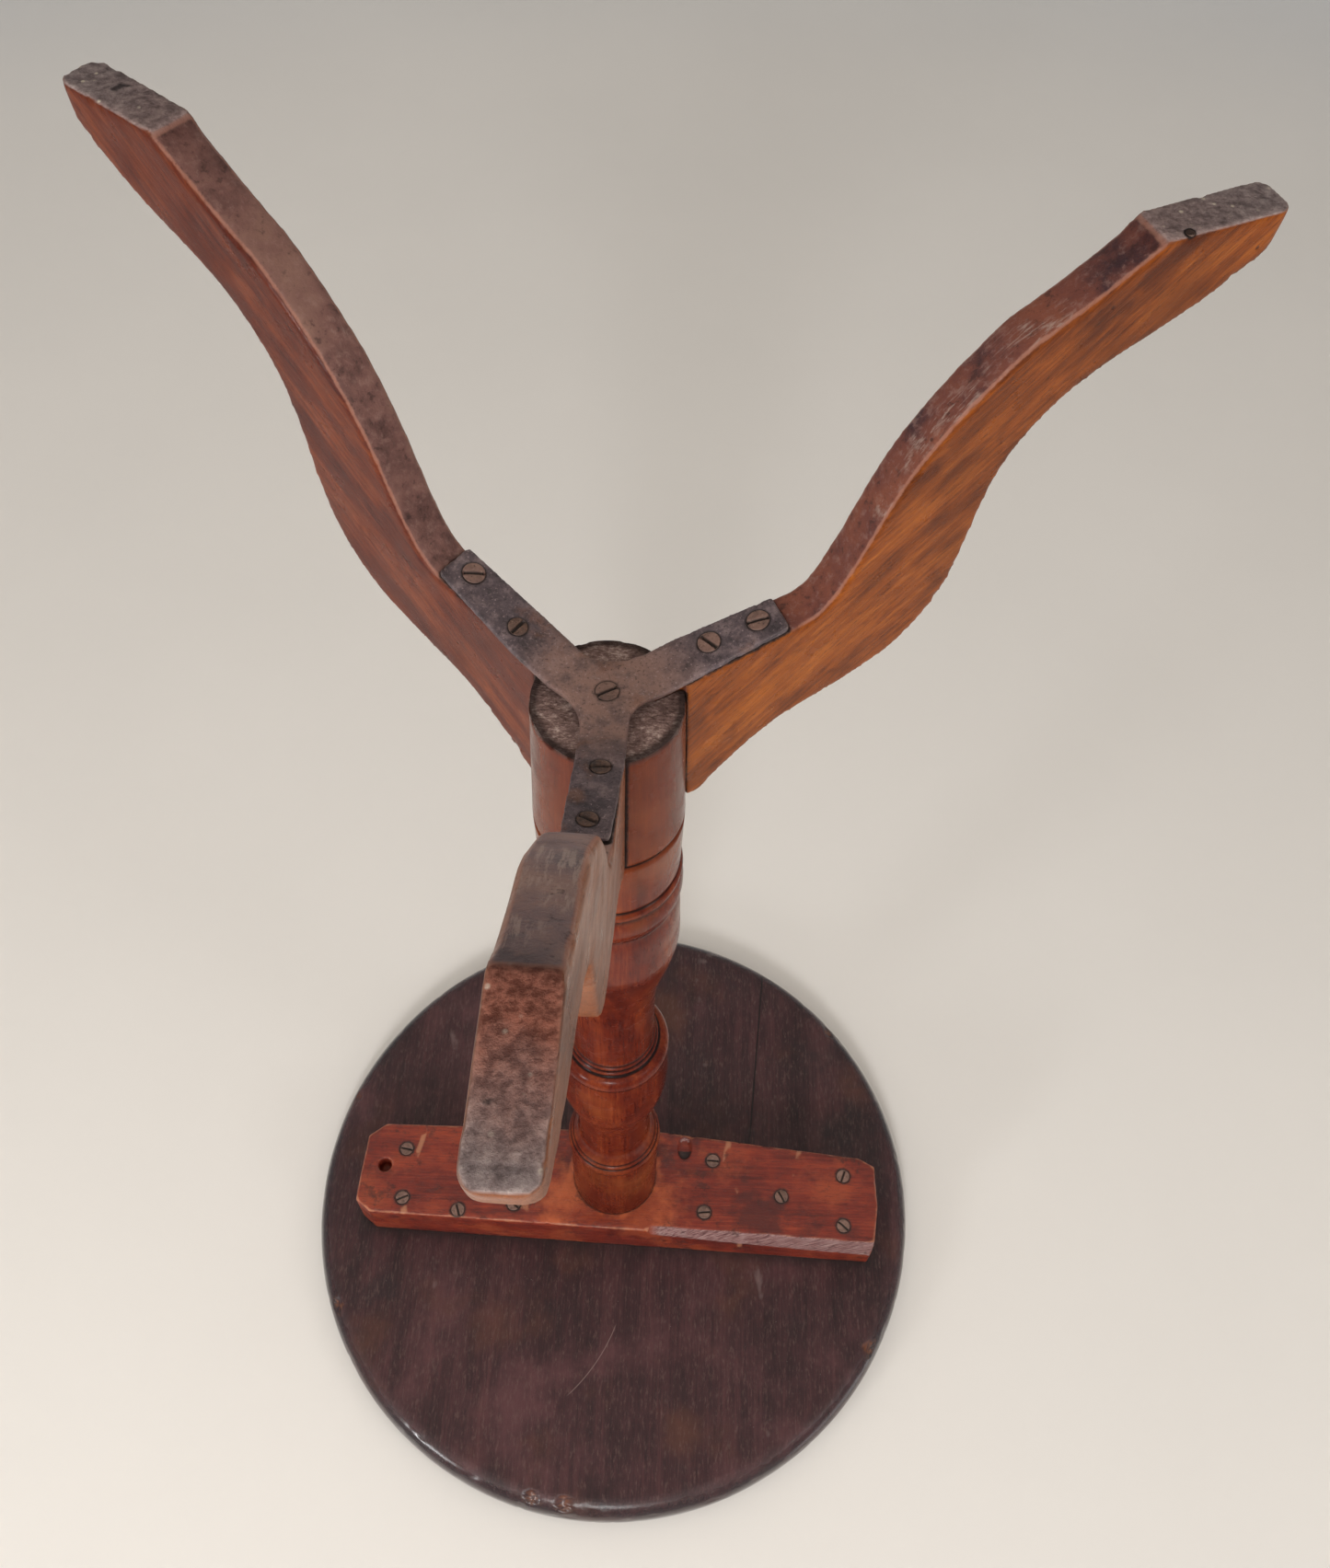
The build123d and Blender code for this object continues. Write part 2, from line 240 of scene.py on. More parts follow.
# --- Writing materials ------------------------------------------------------------------
class Graph:
    """Short way to write the nodes of one material."""

    def __init__(self, name):
        self.material = bpy.data.materials.new(name)
        self.material.use_nodes = True
        self.tree = self.material.node_tree
        self.tree.nodes.clear()

    def add(self, kind, inputs, output=0, **settings):
        """New node. An input's value is a number, a tuple, or another node's output."""
        node = self.tree.nodes.new(kind)
        for key, value in settings.items():
            setattr(node, key, value)
        for key, value in inputs.items():
            if isinstance(value, bpy.types.NodeSocket):
                self.tree.links.new(value, node.inputs[key])
            else:
                node.inputs[key].default_value = value
        return node.outputs[output] if node.outputs else node

    def value(self, name):
        return self.add("ShaderNodeAttribute", {}, 2, attribute_name=name)

    def vector(self, name):
        return self.add("ShaderNodeAttribute", {}, 1, attribute_name=name)

    def place(self):
        return self.add("ShaderNodeTexCoord", {}, 3)

    def times(self, vector, factors):
        return self.add("ShaderNodeVectorMath", {0: vector, 1: factors}, operation="MULTIPLY")

    def plus(self, vector, other):
        return self.add("ShaderNodeVectorMath", {0: vector, 1: other}, operation="ADD")

    def math(self, operation, a, b=0.5, clamp=False):
        return self.add("ShaderNodeMath", {0: a, 1: b}, operation=operation, use_clamp=clamp)

    def product(self, *factors):
        result = factors[0]
        for factor in factors[1:]:
            result = self.math("MULTIPLY", result, factor)
        return result

    def inverse(self, value):
        """1 minus the value."""
        return self.math("SUBTRACT", 1.0, value)

    def noise(self, vector, scale=1.0, detail=3.0, roughness=0.55, distortion=0.0, output=0):
        inputs = {"Vector": vector, "Scale": scale, "Detail": detail}
        inputs |= {"Roughness": roughness, "Distortion": distortion}
        return self.add("ShaderNodeTexNoise", inputs, output)

    def spots(self, vector, scale):
        """Distance to the nearest of many scattered points."""
        return self.add("ShaderNodeTexVoronoi", {"Vector": vector, "Scale": scale})

    def between(self, value, low, high, to_low=0.0, to_high=1.0):
        """Map low..high to to_low..to_high, smoothly and without going past them."""
        inputs = {"Value": value, "From Min": low, "From Max": high}
        inputs |= {"To Min": to_low, "To Max": to_high}
        return self.add("ShaderNodeMapRange", inputs, interpolation_type="SMOOTHSTEP")

    def ramp(self, value, stops):
        """Colours between stops, which are (place, colour) pairs."""
        stops = list(stops)
        node = self.tree.nodes.new("ShaderNodeValToRGB")
        self.tree.links.new(value, node.inputs[0])
        elements = node.color_ramp.elements
        while len(elements) < len(stops):
            elements.new(0.5)
        for element, (place, colour) in zip(elements, stops):
            element.position = place
            element.color = (*colour, 1)
        return node.outputs[0]

    def mix(self, factor, a, b):
        """Colour a turned into colour b by this factor."""
        node = self.tree.nodes.new("ShaderNodeMix")
        node.data_type = "RGBA"
        for index, value in ((0, factor), (6, a), (7, b)):
            if isinstance(value, bpy.types.NodeSocket):
                self.tree.links.new(value, node.inputs[index])
            elif index == 0:
                node.inputs[0].default_value = value
            else:
                node.inputs[index].default_value = (*value, 1)
        return node.outputs[2]

    def blend(self, factor, a, b):
        """Number a turned into number b by this factor."""
        return self.add("ShaderNodeMix", {0: factor, 2: a, 3: b})

    def bump(self, height, distance, normal=None):
        inputs = {"Height": height, "Distance": distance}
        if normal is not None:
            inputs["Normal"] = normal
        return self.add("ShaderNodeBump", inputs)

    def finish(self, colour, roughness, normal, **fixed):
        """Principled surface. Fixed values are set on the shader's own sockets."""
        inputs = {"Base Color": colour, "Roughness": roughness, "Normal": normal}
        inputs |= {key.replace("_", " "): value for key, value in fixed.items()}
        shader = self.add("ShaderNodeBsdfPrincipled", inputs)
        self.add("ShaderNodeOutputMaterial", {"Surface": shader})
        return self.material


def shade(colour, factor):
    return tuple(factor * c for c in colour)


def wood_grain(g, dark, middle, light, figure):
    """Mahogany: streaks and pores along the grain's x. Returns its colour and its height."""
    p = g.vector("grain")
    warp = g.noise(g.times(p, (5, 22, 22)), detail=2, output=1)
    p = g.plus(p, g.times(warp, (0, 4 * MM, 4 * MM)))
    broad = g.noise(g.times(p, (7, 60, 60)), detail=4)
    streaks = g.noise(g.times(p, (22, 700, 700)), detail=4, roughness=0.65)
    ribbon = g.noise(g.times(p, (55, 130, 40)), detail=2, distortion=0.6)
    pores = g.noise(g.times(p, (160, 3600, 3600)), detail=2, roughness=0.7)
    tone = g.math("ADD", g.product(broad, 0.55), g.product(streaks, 0.45))
    tone = g.math("ADD", tone, g.product(g.math("SUBTRACT", ribbon, 0.5), figure))
    colour = g.ramp(tone, [(0.34, dark), (0.5, middle), (0.66, light)])
    pore = g.between(pores, 0.56, 0.68)
    colour = g.mix(g.product(pore, 0.55), colour, shade(dark, 0.35))
    height = g.math("SUBTRACT", g.product(streaks, 0.4), g.product(pore, 0.6))
    return colour, height


def ragged_mask(g, mask_name, low, high, scale):
    """Ragged version of a painted mask, broken up by noise."""
    ragged = g.noise(g.place(), scale=scale, detail=5, roughness=0.7)
    mask = g.math("ADD", g.value(mask_name), g.product(g.math("SUBTRACT", ragged, 0.5), 0.9))
    return g.between(mask, low, high)


def scratches(g, scale, width, share):
    """Thin lines in scattered patches."""
    p = g.place()
    bend, patch_edge = (0.06, 0.06, 0.06), 0.06
    bent = g.plus(p, g.times(g.noise(p, scale=9, detail=2, output=1), bend))
    wave = {"Vector": bent, "Scale": scale, "Distortion": 6.0, "Detail": 2.0}
    lines = g.add("ShaderNodeTexWave", wave, 1)
    thin = g.between(lines, 1.0 - width, 1.0)
    patch = g.between(g.noise(p, scale=38, detail=3), 1.0 - share, 1.0 - share + patch_edge)
    return g.product(thin, patch)


def rare_spots(g, scale, low, high, patch_scale, patch_low, patch_high, detail=2):
    """Small round spots, in scattered patches only."""
    spots = g.between(g.spots(g.place(), scale), low, high)
    patches = g.between(g.noise(g.place(), scale=patch_scale, detail=detail), patch_low, patch_high)
    return g.product(spots, patches)


def line_mask(g, across, along, half_width, start, end):
    """1 on a thin line: across is its distance from the line, along fades it in from start to end."""
    thin = g.between(g.math("ABSOLUTE", across), half_width, 0.4 * half_width)
    return g.product(thin, g.between(along, start, end))


def board_joint(g, place):
    """Joint of two boards on the top's under side, open a hair on one side of the bearer."""
    lean, offset, half_width = 0.073, 0.0887, 0.7 * MM
    start, end = 0.035, 0.050
    xyz = g.tree.nodes.new("ShaderNodeSeparateXYZ")
    g.tree.links.new(place, xyz.inputs[0])
    x, y, z = xyz.outputs
    under = g.between(z, top_low.z + 3 * MM, top_low.z + 1 * MM)
    slant = g.math("ADD", g.product(y, lean), offset)
    return g.product(line_mask(g, g.math("ADD", x, slant), y, half_width, start, end), under)


def long_scratch(g, place):
    """One long scratch on the top's under side, bent like part of a circle."""
    centre, radius, half_width = (0.098, -0.052, top_low.z), 0.1092, 0.40 * MM
    middle, reach, full = (0.006, -0.111, top_low.z), 0.028, 0.022
    from_centre = g.add("ShaderNodeVectorMath", {0: place, 1: centre}, 1, operation="DISTANCE")
    from_middle = g.add("ShaderNodeVectorMath", {0: place, 1: middle}, 1, operation="DISTANCE")
    off = g.math("SUBTRACT", from_centre, radius)
    return line_mask(g, off, from_middle, half_width, reach, full)


def top_material():
    g = Graph("top_dark_mahogany")
    dark, middle, light = (0.016, 0.0050, 0.0062), (0.040, 0.0125, 0.0150), (0.078, 0.026, 0.028)
    colour, height = wood_grain(g, dark, middle, light, 0.20)
    place = g.place()
    # faded and darkened patches
    bloom = g.noise(place, scale=11, detail=6, roughness=0.65)
    colour = g.mix(g.between(bloom, 0.48, 0.70, 0.0, 0.75), colour, (0.115, 0.042, 0.046))
    colour = g.mix(g.between(bloom, 0.44, 0.30, 0.0, 0.8), colour, (0.016, 0.009, 0.011))
    brown = g.noise(place, scale=17, detail=5)
    colour = g.mix(g.between(brown, 0.54, 0.74, 0.0, 0.6), colour, (0.105, 0.036, 0.020))
    fine = g.noise(g.times(place, (1, 0.25, 1)), scale=700, detail=4, roughness=0.7)
    colour = g.mix(g.between(fine, 0.5, 0.72, 0.0, 0.45), colour, (0.15, 0.085, 0.075))
    # painted shade on the side of the rim, worn edge, chips, and painted shade on the under side along
    # the bearer
    colour = g.mix(g.product(g.value("rim"), 0.75), colour, (0.012, 0.008, 0.009))
    edge = ragged_mask(g, "edge", 0.80, 1.2, 180)
    colour = g.mix(g.product(edge, 0.5), colour, (0.10, 0.045, 0.028))
    colour = g.mix(g.value("bare"), colour, (0.16, 0.050, 0.020))
    colour = g.mix(g.product(g.value("dirt_and_shade"), 0.75), colour, (0.010, 0.006, 0.006))
    # joint, scratches and dust
    joint = board_joint(g, place)
    colour = g.mix(g.product(joint, 0.9), colour, (0.006, 0.004, 0.004))
    colour = g.mix(g.product(long_scratch(g, place), 0.5), colour, (0.30, 0.21, 0.19))
    marks = scratches(g, 3.0, 0.010, 0.42)
    colour = g.mix(g.product(marks, 0.4), colour, (0.22, 0.16, 0.15))
    dust = rare_spots(g, 330, 0.10, 0.03, 60, 0.58, 0.68)
    colour = g.mix(g.product(dust, 0.6), colour, (0.30, 0.26, 0.24))
    # matt under side, varnished edge and upper face
    matt = g.between(g.noise(place, scale=25, detail=5), 0.3, 0.7, 0.42, 0.62)
    shiny = g.between(g.noise(place, scale=70, detail=4), 0.3, 0.7, 0.15, 0.27)
    rough = g.blend(g.value("polish"), matt, shiny)
    normal = g.bump(height, 0.10 * MM)
    normal = g.bump(g.inverse(joint), 0.4 * MM, normal)
    normal = g.bump(g.noise(place, scale=90, detail=5), 0.22 * MM, normal)
    varnish = g.math("MULTIPLY", g.value("rim"), 0.9, True)
    gloss = {"Specular_IOR_Level": 0.42, "Coat_Weight": varnish, "Coat_Roughness": 0.13}
    return g.finish(colour, rough, normal, **gloss)


def bearer_material():
    g = Graph("bearer_mahogany")
    dark, middle, light = (0.085, 0.009, 0.0055), (0.205, 0.022, 0.010), (0.32, 0.046, 0.016)
    colour, height = wood_grain(g, dark, middle, light, 0.35)
    place = g.place()
    broad = g.noise(place, scale=24, detail=6, roughness=0.62)
    colour = g.mix(g.between(broad, 0.5, 0.66, 0.0, 0.75), colour, (0.35, 0.063, 0.021))
    colour = g.mix(g.between(broad, 0.46, 0.34, 0.0, 0.8), colour, (0.075, 0.012, 0.010))
    fine = g.noise(g.times(g.vector("grain"), (120, 1300, 1300)), detail=4, roughness=0.75)
    colour = g.mix(g.between(fine, 0.54, 0.66, 0.0, 0.6), colour, (0.060, 0.010, 0.007))
    worn = ragged_mask(g, "worn", 0.45, 0.95, 110)
    colour = g.mix(g.product(worn, 0.75), colour, (0.56, 0.130, 0.042))
    edge = ragged_mask(g, "edge", 0.55, 1.0, 200)
    colour = g.mix(g.product(edge, 0.7), colour, (0.52, 0.20, 0.10))
    scuffs = scratches(g, 5.0, 0.02, 0.44)
    colour = g.mix(g.product(scuffs, 0.6), colour, (0.55, 0.25, 0.13))
    # pale, fibrous wood where the lower edge was planed off
    planed = g.value("planed")
    turn = {"Vector": g.vector("grain"), "Angle": 0.6}
    turned = g.add("ShaderNodeVectorRotate", turn, rotation_type="Y_AXIS")
    fibres = g.noise(g.times(turned, (60, 900, 1500)), detail=4, roughness=0.7)
    pale_stops = (0.10, 0.030, 0.028), (0.33, 0.17, 0.16), (0.42, 0.29, 0.27)
    colour = g.mix(planed, colour, g.ramp(fibres, zip((0.38, 0.52, 0.64), pale_stops)))
    # dirt round the screws, painted shade in the corners by the column and the top and in the recessed
    # pocket and holes, and dark blotches
    darkening = ragged_mask(g, "dirt_and_shade", 0.30, 0.95, 400)
    colour = g.mix(g.product(darkening, 0.95), colour, (0.016, 0.009, 0.008))
    blotch = g.between(g.noise(place, scale=75, detail=6, roughness=0.75), 0.56, 0.66)
    colour = g.mix(g.product(blotch, 0.65), colour, (0.045, 0.012, 0.009))
    rough = g.between(g.noise(place, scale=60, detail=4), 0.3, 0.7, 0.32, 0.55)
    normal = g.bump(height, 0.20 * MM)
    normal = g.bump(g.noise(place, scale=160, detail=5), 0.30 * MM, normal)
    normal = g.bump(g.product(fibres, planed), 0.4 * MM, normal)
    return g.finish(colour, rough, normal)


def column_material():
    g = Graph("column_polished_mahogany")
    dark, middle, light = (0.060, 0.0065, 0.004), (0.135, 0.017, 0.0065), (0.25, 0.046, 0.014)
    colour, height = wood_grain(g, dark, middle, light, 0.20)
    place = g.place()
    colour = g.mix(g.product(g.value("amber"), 0.8), colour, (0.17, 0.037, 0.007))
    broad = g.noise(place, scale=26, detail=5)
    colour = g.mix(g.between(broad, 0.5, 0.75, 0.0, 0.55), colour, (0.27, 0.070, 0.020))
    colour = g.mix(g.between(broad, 0.45, 0.28, 0.0, 0.6), colour, (0.060, 0.008, 0.005))
    # darker towards the upper end, over the collar
    colour = g.mix(g.product(g.value("darkening"), 0.75), colour, dark)
    edge = ragged_mask(g, "edge", 0.90, 1.3, 150)
    colour = g.mix(g.product(edge, 0.35), colour, (0.36, 0.12, 0.045))
    # dark polish and painted shade in the turned hollows, painted shade along the joints, nicks
    colour = g.mix(g.product(g.value("hollow"), 0.96), colour, (0.006, 0.003, 0.003))
    grime_and_shade = ragged_mask(g, "dirt_and_shade", 0.25, 0.75, 500)
    colour = g.mix(g.product(grime_and_shade, 0.95), colour, (0.010, 0.005, 0.004))
    nicks = rare_spots(g, 160, 0.10, 0.04, 30, 0.56, 0.62)
    colour = g.mix(g.product(nicks, 0.7), colour, (0.04, 0.010, 0.007))
    # bare, dusty foot end
    end = g.value("end")
    patches = g.noise(place, scale=110, detail=5, roughness=0.7)
    fibres = g.noise(g.times(place, (1, 2.5, 0.1)), scale=520, detail=5, roughness=0.75)
    both = g.math("ADD", g.product(fibres, 0.6), g.product(patches, 0.4))
    dusty_stops = (0.075, 0.046, 0.040), (0.26, 0.165, 0.145), (0.62, 0.48, 0.42)
    colour = g.mix(end, colour, g.ramp(both, zip((0.38, 0.52, 0.62), dusty_stops)))
    # painted shade round the rim of the foot end
    colour = g.mix(g.value("end_rim_shade"), colour, (0.018, 0.011, 0.010))
    dull = g.math("MAXIMUM", end, g.product(grime_and_shade, 0.8))
    gloss = g.between(g.noise(place, scale=110, detail=4), 0.3, 0.7, 0.16, 0.30)
    rough = g.blend(dull, gloss, 0.8)
    normal = g.bump(g.noise(place, scale=70, detail=2), 0.03 * MM)
    normal = g.bump(height, 0.02 * MM, normal)
    normal = g.bump(g.product(both, end), 1.0 * MM, normal)
    return g.finish(colour, rough, normal, Specular_IOR_Level=0.14)


def leg_under_side(g, place, stains, mottle, under_stops):
    """Colour of a leg's under side: stained red brown, dark in places and scraped pale in others."""
    under = g.ramp(stains, zip((0.36, 0.48, 0.64), under_stops))
    under = g.mix(g.between(mottle, 0.5, 0.68, 0.0, 0.55), under, (0.30, 0.17, 0.14))
    under = g.mix(g.between(mottle, 0.44, 0.34, 0.0, 0.6), under, (0.045, 0.022, 0.020))
    fibres = g.noise(g.times(g.vector("grain"), (45, 700, 700)), detail=4, roughness=0.7)
    scraped = g.between(g.noise(place, scale=24, detail=5, roughness=0.6), 0.56, 0.63)
    pale = g.product(g.between(fibres, 0.47, 0.62), scraped)
    return g.mix(g.product(pale, 0.7), under, (0.42, 0.30, 0.25))


def leg_sole(g, place, stains, specks, tint):
    """Colour of a sole: grey brown at the toe, redder inwards by the tint, with specks of grit, all
    made lighter as painted light on the soles.
    """
    # greys of the worn sole, made lighter as painted light
    grey_stops = (0.20, 0.15, 0.14), (0.43, 0.34, 0.32), (0.66, 0.56, 0.52)
    sole = g.ramp(specks, zip((0.30, 0.5, 0.70), grey_stops))
    inner = g.inverse(g.value("toe"))
    redness = g.math("ADD", inner, g.math("SUBTRACT", stains, 0.5))
    redness = g.math("MULTIPLY", redness, tint, True)
    red = g.mix(g.between(specks, 0.4, 0.6), (0.28, 0.105, 0.070), (0.58, 0.260, 0.180))
    sole = g.mix(redness, sole, red)
    grit = rare_spots(g, 260, 0.24, 0.10, 80, 0.46, 0.60, 3)
    sole = g.mix(g.product(grit, 0.9), sole, (0.90, 0.80, 0.66))
    spots = g.between(g.noise(place, scale=85, detail=4), 0.64, 0.70)
    return g.mix(g.product(spots, 0.75), sole, (0.06, 0.045, 0.042))


def leg_material(side, dark, middle, light, under_stops, sole_tint):
    g = Graph(f"leg_{side}_mahogany")
    colour, height = wood_grain(g, dark, middle, light, 0.38)
    place = g.place()
    broad = g.noise(place, scale=18, detail=4)
    colour = g.mix(g.between(broad, 0.45, 0.8, 0.0, 0.5), colour, shade(dark, 0.7))
    flecks = g.noise(g.times(g.vector("grain"), (260, 2200, 2200)), detail=3, roughness=0.7)
    colour = g.mix(g.between(flecks, 0.55, 0.68, 0.0, 0.6), colour, shade(dark, 0.3))
    stains = g.noise(place, scale=32, detail=6, roughness=0.66)
    mottle = g.noise(place, scale=260, detail=5, roughness=0.72)
    specks = g.noise(place, scale=300, detail=6, roughness=0.72)
    under, sole = g.value("under"), g.value("sole")
    colour = g.mix(under, colour, leg_under_side(g, place, stains, mottle, under_stops))
    colour = g.mix(sole, colour, leg_sole(g, place, stains, specks, sole_tint))
    # rubbed edges, partly a painted highlight, painted shade along the joints, nicks
    rubbed = ragged_mask(g, "arris", 0.45, 0.95, 300)
    colour = g.mix(g.product(rubbed, 0.6), colour, (0.42, 0.19, 0.13))
    edge = ragged_mask(g, "edge", 0.70, 1.1, 220)
    colour = g.mix(g.product(edge, 0.35), colour, (0.34, 0.13, 0.065))
    grime_and_shade = ragged_mask(g, "dirt_and_shade", 0.25, 0.8, 450)
    colour = g.mix(g.product(grime_and_shade, 0.95), colour, (0.010, 0.006, 0.005))
    nicks = rare_spots(g, 130, 0.12, 0.05, 40, 0.56, 0.62)
    colour = g.mix(g.product(nicks, 0.7), colour, (0.04, 0.012, 0.008))
    gloss = g.between(g.noise(place, scale=70, detail=4), 0.3, 0.7, 0.26, 0.42)
    half = g.between(stains, 0.4, 0.6, 0.32, 0.55)
    rough = g.blend(sole, g.blend(under, gloss, half), 0.72)
    normal = g.bump(height, 0.08 * MM)
    normal = g.bump(g.product(mottle, under), 0.5 * MM, normal)
    normal = g.bump(g.product(specks, sole), 0.7 * MM, normal)
    normal = g.bump(g.inverse(nicks), 0.3 * MM, normal)
    return g.finish(colour, rough, normal, Specular_IOR_Level=0.22)


def iron_material(name, dark, rust, pale):
    g = Graph(name)
    place = g.place()
    coarse = g.noise(place, scale=120, detail=6, roughness=0.7)
    fine = g.noise(place, scale=900, detail=4, roughness=0.7)
    colour = g.ramp(coarse, [(0.35, dark), (0.52, rust), (0.68, pale)])
    hub = g.product(g.value("hub"), g.between(coarse, 0.3, 0.6, 0.4, 1.0))
    colour = g.mix(hub, colour, (0.30, 0.175, 0.140))
    orange = g.between(g.noise(place, scale=55, detail=5), 0.55, 0.68)
    colour = g.mix(g.product(orange, 0.5), colour, (0.20, 0.082, 0.040))
    specks = g.between(fine, 0.58, 0.70)
    colour = g.mix(g.product(specks, 0.65), colour, shade(pale, 1.7))
    pits = g.between(fine, 0.44, 0.34)
    colour = g.mix(g.product(pits, 0.6), colour, shade(dark, 0.4))
    # painted shade where the iron meets other parts and in the screw slots
    colour = g.mix(g.product(g.value("dirt_and_shade"), 0.92), colour, (0.008, 0.005, 0.004))
    # painted highlight along the outer edges
    painted_edge_highlight = ragged_mask(g, "edge", 0.7, 1.1, 500)
    colour = g.mix(g.product(painted_edge_highlight, 0.5), colour, (0.26, 0.20, 0.18))
    rough = g.between(coarse, 0.3, 0.7, 0.42, 0.70)
    normal = g.bump(coarse, 0.6 * MM)
    normal = g.bump(fine, 0.2 * MM, normal)
    return g.finish(colour, rough, normal, Metallic=0.25)


def bare_wood_material():
    g = Graph("bare_wood")
    fibres = g.noise(g.times(g.place(), (900, 900, 30)), detail=4)
    colour = g.ramp(fibres, [(0.35, (0.20, 0.10, 0.05)), (0.65, (0.38, 0.23, 0.13))])
    return g.finish(colour, g.between(fibres, 0.3, 0.7, 0.55, 0.75), g.bump(fibres, 0.1 * MM))


def floor_material(name, shown_side, colour, reach):
    """Pale floor, seen from one side only and fading out with distance and at low angles."""
    g = Graph(name)
    place = g.place()
    away = g.add("ShaderNodeVectorMath", {0: g.times(place, (1, 1, 0))}, 1, operation="LENGTH")
    near = g.between(away, reach, 0.55 * reach)
    behind = g.add("ShaderNodeNewGeometry", {}, 6)
    facing = behind if shown_side == "under" else g.inverse(behind)
    weight = g.add("ShaderNodeLayerWeight", {"Blend": 0.5}, 1)
    steep = g.between(weight, 0.72, 0.50)
    mottle = g.noise(place, scale=3, detail=4)
    tone = g.ramp(mottle, [(0.3, shade(colour, 0.97)), (0.7, colour)])
    shader = g.add("ShaderNodeBsdfPrincipled", {"Base Color": tone, "Roughness": 0.85})
    clear = g.add("ShaderNodeBsdfTransparent", {})
    amount = g.product(near, facing, steep)
    both = g.add("ShaderNodeMixShader", {0: amount, 1: clear, 2: shader})
    g.add("ShaderNodeOutputMaterial", {"Surface": both})
    return g.material


# --- Pieces -----------------------------------------------------------------------------
def push(piece, depth):
    """Move each vertex inwards, against its normal, by its depth."""
    mesh = piece.data
    move_points(mesh, points_of(mesh) - normals_of(mesh) * depth[:, None])


def dent(co, centre, radius, seed):
    """1 in one ragged dent, fading to 0 outside it."""
    distance = np.linalg.norm(co - np.array(centre), axis=1)
    near = distance < 1.6 * radius
    out = np.zeros(len(co))
    ragged = 1 + 0.5 * noise_at(co[near], 1.2 / radius, seed)
    out[near] = smoothstep(1.0, 0.55, distance[near] / radius / ragged)
    return out


def along(co, azimuth):
    """Points as (distance from the axis, offset to the side, height) in a leg's own plane."""
    c, s = math.cos(azimuth), math.sin(azimuth)
    return np.c_[co[:, 0] * c + co[:, 1] * s, -co[:, 0] * s + co[:, 1] * c, co[:, 2]]


def leg_grain(local):
    """Points of a leg turned so that the first coordinate runs along the board's grain."""
    angle = math.radians(-43)
    c, s = math.cos(angle), math.sin(angle)
    out, side, up = local.T
    return np.c_[out * c + up * s, -out * s + up * c, side]


def make_leg(side, material):
    azimuth = leg_azimuth(side)
    seed = 1.0 + sides.index(side)
    piece = dense_copy(f"leg_{side}", f"leg_{side}_wood", voxel=0.95 * MM, passes=8)
    mesh = piece.data
    co, normal = points_of(mesh), normals_of(mesh)
    edge = convex_edges(mesh)
    # worn and chipped outer edges, and slightly uneven sawn faces
    wear = 0.5 + 0.5 * noise_at(co, 60, seed)
    chips = smoothstep(0.35, 0.6, noise_at(co, 150, seed + 5))
    uneven = noise_at(co, 25, seed + 9, 2)
    axis_distance = np.hypot(co[:, 0], co[:, 1])
    free = smoothstep(30 * MM, 34 * MM, axis_distance)
    push(piece, free * (edge * (0.25 * wear + 0.45 * chips) + 0.10 + 0.10 * uneven) * MM)
    # the arrises of the under side are rubbed round
    below = smoothstep(0.1, 0.5, -along(normal, azimuth)[:, [0, 2]].sum(1))
    clear = smoothstep(66 * MM, 80 * MM, axis_distance) * smoothstep(1 * MM, 6 * MM, co[:, 2])
    rounded = np.clip(2 * neighbour_mean(mesh, below, 4), 0, 1)
    ease(piece, rounded * clear * (0.8 + 0.2 * uneven), passes=26)
    co, normal = points_of(mesh), normals_of(mesh)
    local, turned = along(co, azimuth), along(normal, azimuth)
    sole = smoothstep(2.0 * MM, 0.5 * MM, co[:, 2]) * smoothstep(0.6, 0.9, -normal[:, 2])
    inward = smoothstep(0.1, 0.5, -(turned[:, 0] + turned[:, 2]))
    flat = smoothstep(0.75, 0.4, np.abs(turned[:, 1]))
    under = inward * flat * (1 - sole)
    spread = neighbour_mean(mesh, under, 5)
    border = 4 * spread * (1 - spread)
    sole_start, sole_end = local[sole > 0.5, 0].min(), local[:, 0].max()
    paint(piece, "grain", leg_grain(local) + 0.37 * seed)
    paint(piece, "edge", edge)
    paint(piece, "under", under)
    # rubbed arris, partly a painted highlight
    paint(piece, "arris", border * smoothstep(60 * MM, 75 * MM, axis_distance))
    paint(piece, "toe", smoothstep(sole_start, sole_end, local[:, 0]))
    paint(piece, "sole", sole)
    # painted shade where the leg meets the column, the plate and the brad
    dirt_and_shade = np.maximum(nearness(co, ("column",), 1.8 * MM), nearness(co, ("spider_plate",), 1.6 * MM))
    if side == "left":
        dirt_and_shade = np.maximum(dirt_and_shade, nearness(co, ("sole_brad",), 1.5 * MM))
    paint(piece, "dirt_and_shade", dirt_and_shade)
    finish_piece(piece, material, [f"leg_{side}"])


def column_profile():
    """Outline of the turned column, read off the CAD node between two legs."""
    tree = search_tree("column")
    turn = leg_azimuth("right") + math.radians(58)
    out = Vector((math.cos(turn), math.sin(turn), 0))
    low, high, outside = column_low.z, column_high.z, 200 * MM
    profile = []
    for z in np.arange(low + 0.15 * MM, high, 0.3 * MM):
        hit = tree.ray_cast(out * outside + Vector((0, 0, z)), -out)[0]
        if hit is not None:
            profile.append((math.hypot(hit.x, hit.y), z))
    profile = thin_out(profile, tolerance=0.02 * MM, longest=3 * MM)
    first, last = profile[0][0], profile[-1][0]
    foot_end = [(0, low)] + [(first * k, low) for k in np.linspace(0.06, 0.985, foot_rings)]
    return foot_end + profile + [(last * 0.98, high), (0, high)]


